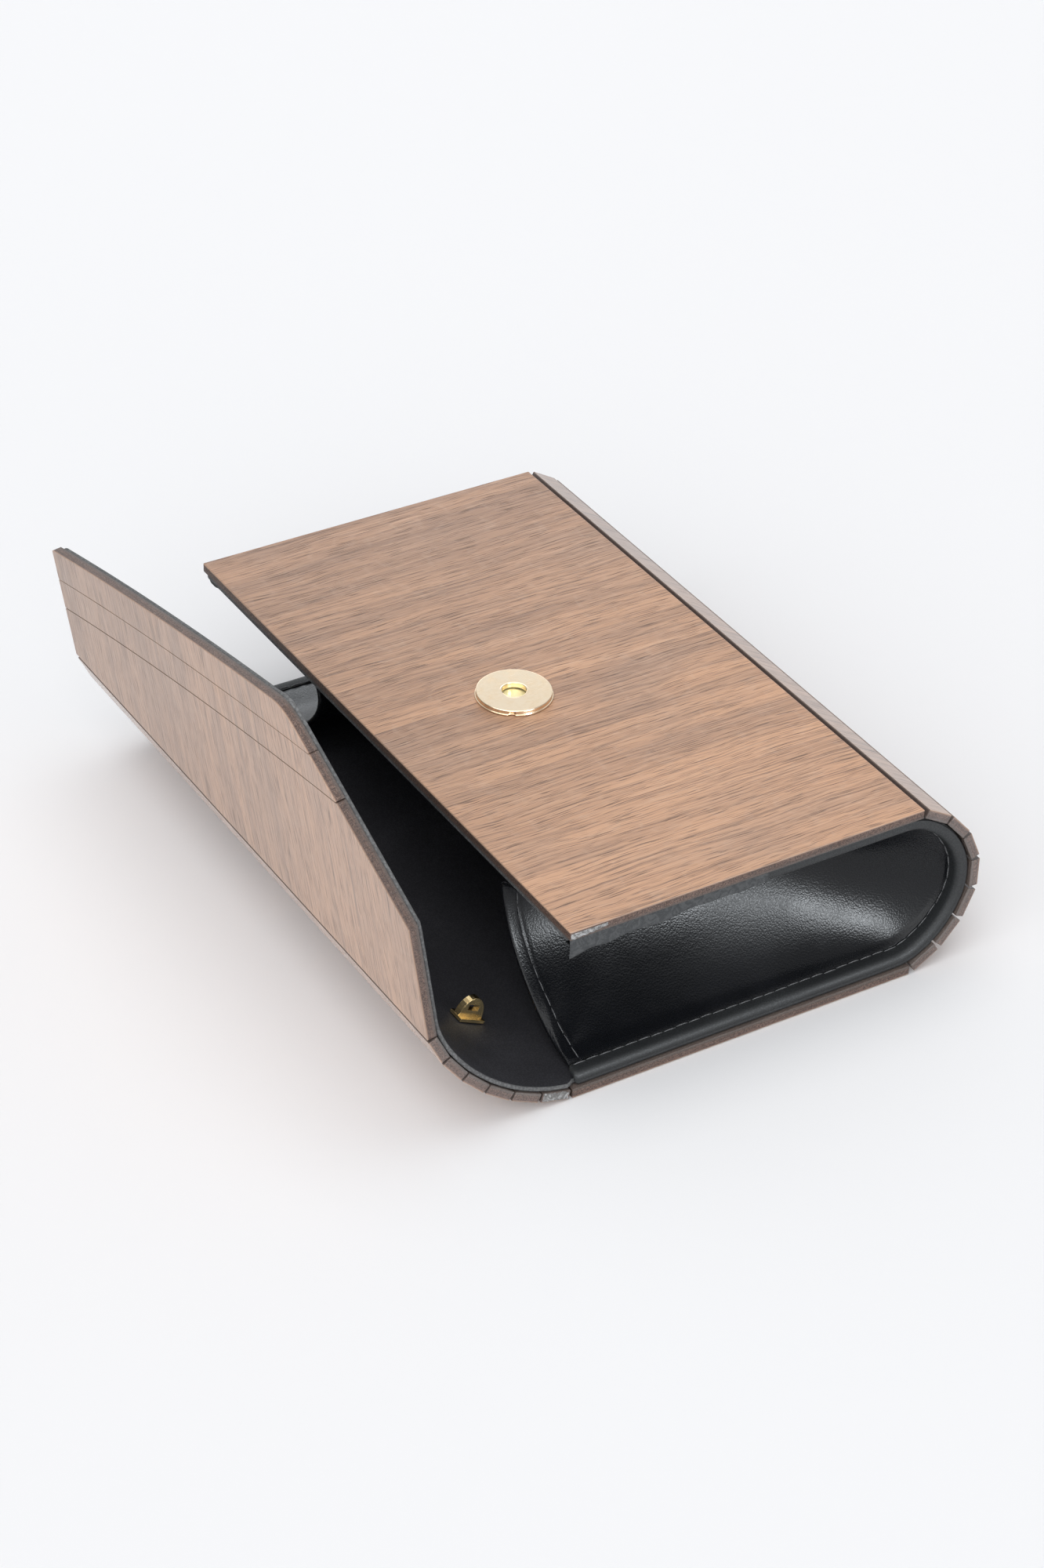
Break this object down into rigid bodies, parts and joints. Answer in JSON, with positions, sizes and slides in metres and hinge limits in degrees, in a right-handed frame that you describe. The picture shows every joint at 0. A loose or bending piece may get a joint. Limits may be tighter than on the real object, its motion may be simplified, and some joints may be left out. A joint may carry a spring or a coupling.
{
  "type": "clutch bag",
  "caption": "Walnut-veneer clutch case with kerf-bent slatted bends, folding flap, magnetic snap, leatherette lining and inward-folding side gussets.",
  "frame": {"origin": "centre of the back panel's outer face, on which the case lies", "axes": "+X from the flap to the bottom bend, +Y along the mouth from the flap's taller end to its lower end, +Z from the back panel up to the front panel"},
  "size_m": [0.1506, 0.168, 0.089],
  "materials": {
    "walnut_veneer": "matte open-pored walnut veneer on thin board, with dark laser-cut edges",
    "lining_leatherette": "satin black leatherette with fine grain",
    "gusset_leatherette": "semi-gloss black leatherette with fine pebble grain",
    "edge_binding": "satin dark grey turned edge",
    "snap_gold": "polished pale gold plate",
    "anchor_gold": "polished yellow gold plate",
    "magnet_ferrite": "dull dark grey",
    "washer_steel": "dull zinc plate"
  },
  "bodies": {
    "back": {"back_panel": "walnut_veneer", "back_lining": "lining_leatherette", "bottom_slat_1": "walnut_veneer", "bottom_slat_2": "walnut_veneer", "bottom_slat_3": "walnut_veneer", "gusset_near": "gusset_leatherette", "gusset_far": "gusset_leatherette", "binding_back_near": "edge_binding", "binding_back_far": "edge_binding"},
    "front": {"front_panel": "walnut_veneer", "front_lining": "lining_leatherette", "bottom_slat_4": "walnut_veneer", "bottom_slat_5": "walnut_veneer", "bottom_slat_6": "walnut_veneer", "bottom_slat_7": "walnut_veneer", "binding_front_near": "edge_binding", "binding_front_far": "edge_binding", "snap_female_cover": "snap_gold", "snap_magnet": "magnet_ferrite", "snap_female_base": "washer_steel", "snap_female_washer": "washer_steel"},
    "top_slat_1": {"top_slat_1": "walnut_veneer", "top_slat_lining_1": "lining_leatherette"},
    "top_slat_2": {"top_slat_2": "walnut_veneer", "top_slat_lining_2": "lining_leatherette", "chain_anchor_near": "anchor_gold", "chain_anchor_far": "anchor_gold"},
    "top_slat_3": {"top_slat_3": "walnut_veneer", "top_slat_lining_3": "lining_leatherette"},
    "top_slat_4": {"top_slat_4": "walnut_veneer", "top_slat_lining_4": "lining_leatherette"},
    "top_slat_5": {"top_slat_5": "walnut_veneer", "top_slat_lining_5": "lining_leatherette"},
    "top_slat_6": {"top_slat_6": "walnut_veneer", "top_slat_lining_6": "lining_leatherette"},
    "flap": {"flap_panel": "walnut_veneer", "flap_strip_inner": "walnut_veneer", "flap_strip_edge": "walnut_veneer", "flap_lining": "lining_leatherette", "snap_male_disc": "snap_gold", "snap_male_washer": "washer_steel"}
  },
  "joints": [
    {"name": "flap_fold_1", "type": "hinge", "parent": "back", "child": "top_slat_1", "pos_m": [-0.0445, 0, 0.0023], "axis": [0, 1, 0], "range_deg": [-14, 15.95]},
    {"name": "flap_fold_2", "type": "hinge", "parent": "top_slat_1", "child": "top_slat_2", "pos_m": [-0.05184, 0, 0.00413], "axis": [0, 1, 0], "range_deg": [-11.55, 13.15]},
    {"name": "flap_fold_3", "type": "hinge", "parent": "top_slat_2", "child": "top_slat_3", "pos_m": [-0.05866, 0, 0.00738], "axis": [0, 1, 0], "range_deg": [-10.55, 12.01]},
    {"name": "flap_fold_4", "type": "hinge", "parent": "top_slat_3", "child": "top_slat_4", "pos_m": [-0.06478, 0, 0.01183], "axis": [0, 1, 0], "range_deg": [-9.05, 10.3]},
    {"name": "flap_fold_5", "type": "hinge", "parent": "top_slat_4", "child": "top_slat_5", "pos_m": [-0.07012, 0, 0.01717], "axis": [0, 1, 0], "range_deg": [-8.55, 9.73]},
    {"name": "flap_fold_6", "type": "hinge", "parent": "top_slat_5", "child": "top_slat_6", "pos_m": [-0.07462, 0, 0.02325], "axis": [0, 1, 0], "range_deg": [-10.55, 12.01]},
    {"name": "flap_fold_7", "type": "hinge", "parent": "top_slat_6", "child": "flap", "pos_m": [-0.07793, 0, 0.03004], "axis": [0, 1, 0], "range_deg": [-17.25, 19.65]},
    {"name": "mouth_flex", "type": "hinge", "parent": "back", "child": "front", "pos_m": [0.05904, 0, 0.01873], "axis": [0, -1, 0], "range_deg": [-5.11, 5.81], "deforming": ["gusset_near", "gusset_far"]}
  ],
  "couplings": [
    {"joint": "flap_fold_2", "follows": "flap_fold_1", "ratio": 0.82143},
    {"joint": "flap_fold_3", "follows": "flap_fold_1", "ratio": 0.75},
    {"joint": "flap_fold_4", "follows": "flap_fold_1", "ratio": 0.64286},
    {"joint": "flap_fold_5", "follows": "flap_fold_1", "ratio": 0.60714},
    {"joint": "flap_fold_6", "follows": "flap_fold_1", "ratio": 0.75},
    {"joint": "flap_fold_7", "follows": "flap_fold_1", "ratio": 1.2286},
    {"joint": "mouth_flex", "follows": "flap_fold_1", "ratio": 0.36113}
  ]
}
